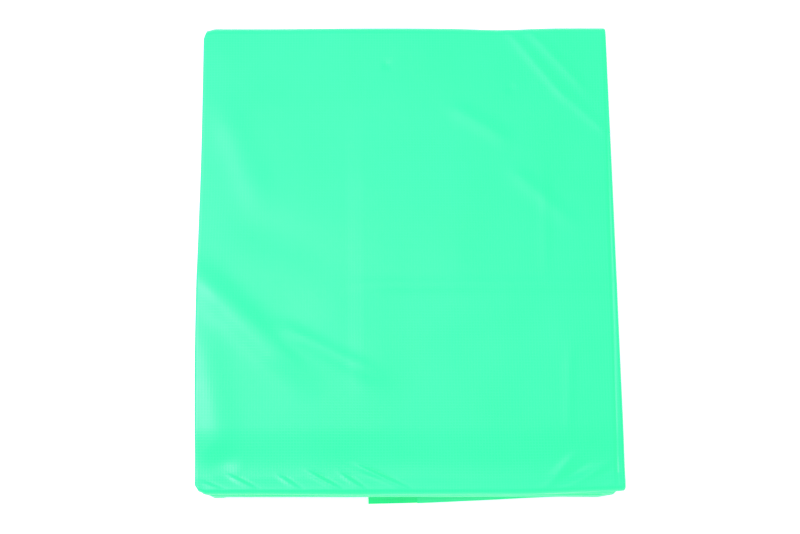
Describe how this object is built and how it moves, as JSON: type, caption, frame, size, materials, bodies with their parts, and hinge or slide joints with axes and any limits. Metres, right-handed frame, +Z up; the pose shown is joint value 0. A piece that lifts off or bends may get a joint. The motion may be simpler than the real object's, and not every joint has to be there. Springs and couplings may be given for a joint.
{
  "type": "folded canopy tarpaulin",
  "caption": "Coated-cloth canopy tarpaulin with welded hems and corner eyelets, folded to a flat rectangular pack that opens at its cross folds.",
  "frame": {"origin": "middle of the pack's outline, on the face it lies on", "axes": "+Z up through the pack, +Y away from the near edge where the sheet's first end lies, +X to the right"},
  "size_m": [0.305, 0.356, 0.0274],
  "materials": {
    "coated_cloth": "laminated vinyl face with a soft sheen and a fine woven grid",
    "hem_cloth": "the same cloth, turned and heat welded",
    "eyelet_metal": "pressed and plated, slightly dull"
  },
  "bodies": {
    "leaf_1": {"leaf_1": "coated_cloth", "fold_1_far": "coated_cloth", "end_hem_bottom": "hem_cloth", "eyelet_bottom_a": "eyelet_metal", "eyelet_bottom_b": "eyelet_metal", "washer_bottom_a": "eyelet_metal", "washer_bottom_b": "eyelet_metal"},
    "leaf_2": {"leaf_2": "coated_cloth", "fold_2_near": "coated_cloth"},
    "leaf_3": {"leaf_3": "coated_cloth", "fold_3_far": "coated_cloth"},
    "leaf_4": {"leaf_4": "coated_cloth", "fold_4_near": "coated_cloth"},
    "leaf_5": {"leaf_5": "coated_cloth", "fold_5_far": "coated_cloth"},
    "leaf_6": {"leaf_6": "coated_cloth", "fold_6_near": "coated_cloth"},
    "tuck_flap": {"tuck_flap": "coated_cloth", "end_hem_tuck": "hem_cloth", "eyelet_tuck_a": "eyelet_metal", "eyelet_tuck_b": "eyelet_metal", "washer_tuck_a": "eyelet_metal", "washer_tuck_b": "eyelet_metal"}
  },
  "joints": [
    {"name": "fold_1", "type": "hinge", "parent": "leaf_1", "child": "leaf_2", "pos_m": [0, 0.17221, 0.00381], "axis": [-1, 0, 0], "range_deg": [0, 178], "deforming": ["fold_1_far"]},
    {"name": "fold_2", "type": "hinge", "parent": "leaf_2", "child": "leaf_3", "pos_m": [0, -0.17419, 0.00777], "axis": [1, 0, 0], "range_deg": [0, 178], "deforming": ["fold_2_near"]},
    {"name": "fold_3", "type": "hinge", "parent": "leaf_3", "child": "leaf_4", "pos_m": [0, 0.17221, 0.01173], "axis": [-1, 0, 0], "range_deg": [0, 178], "deforming": ["fold_3_far"]},
    {"name": "fold_4", "type": "hinge", "parent": "leaf_4", "child": "leaf_5", "pos_m": [0, -0.17419, 0.01569], "axis": [1, 0, 0], "range_deg": [0, 178], "deforming": ["fold_4_near"]},
    {"name": "fold_5", "type": "hinge", "parent": "leaf_5", "child": "leaf_6", "pos_m": [0, 0.17221, 0.02163], "axis": [-1, 0, 0], "range_deg": [0, 178], "deforming": ["fold_5_far"]},
    {"name": "fold_6", "type": "hinge", "parent": "leaf_6", "child": "tuck_flap", "pos_m": [0, -0.17419, 0.02361], "axis": [-1, 0, 0], "range_deg": [0, 178], "deforming": ["fold_6_near"]}
  ],
  "couplings": [
    {"joint": "fold_2", "follows": "fold_1", "ratio": 1},
    {"joint": "fold_4", "follows": "fold_3", "ratio": 1},
    {"joint": "fold_6", "follows": "fold_5", "ratio": 1}
  ]
}
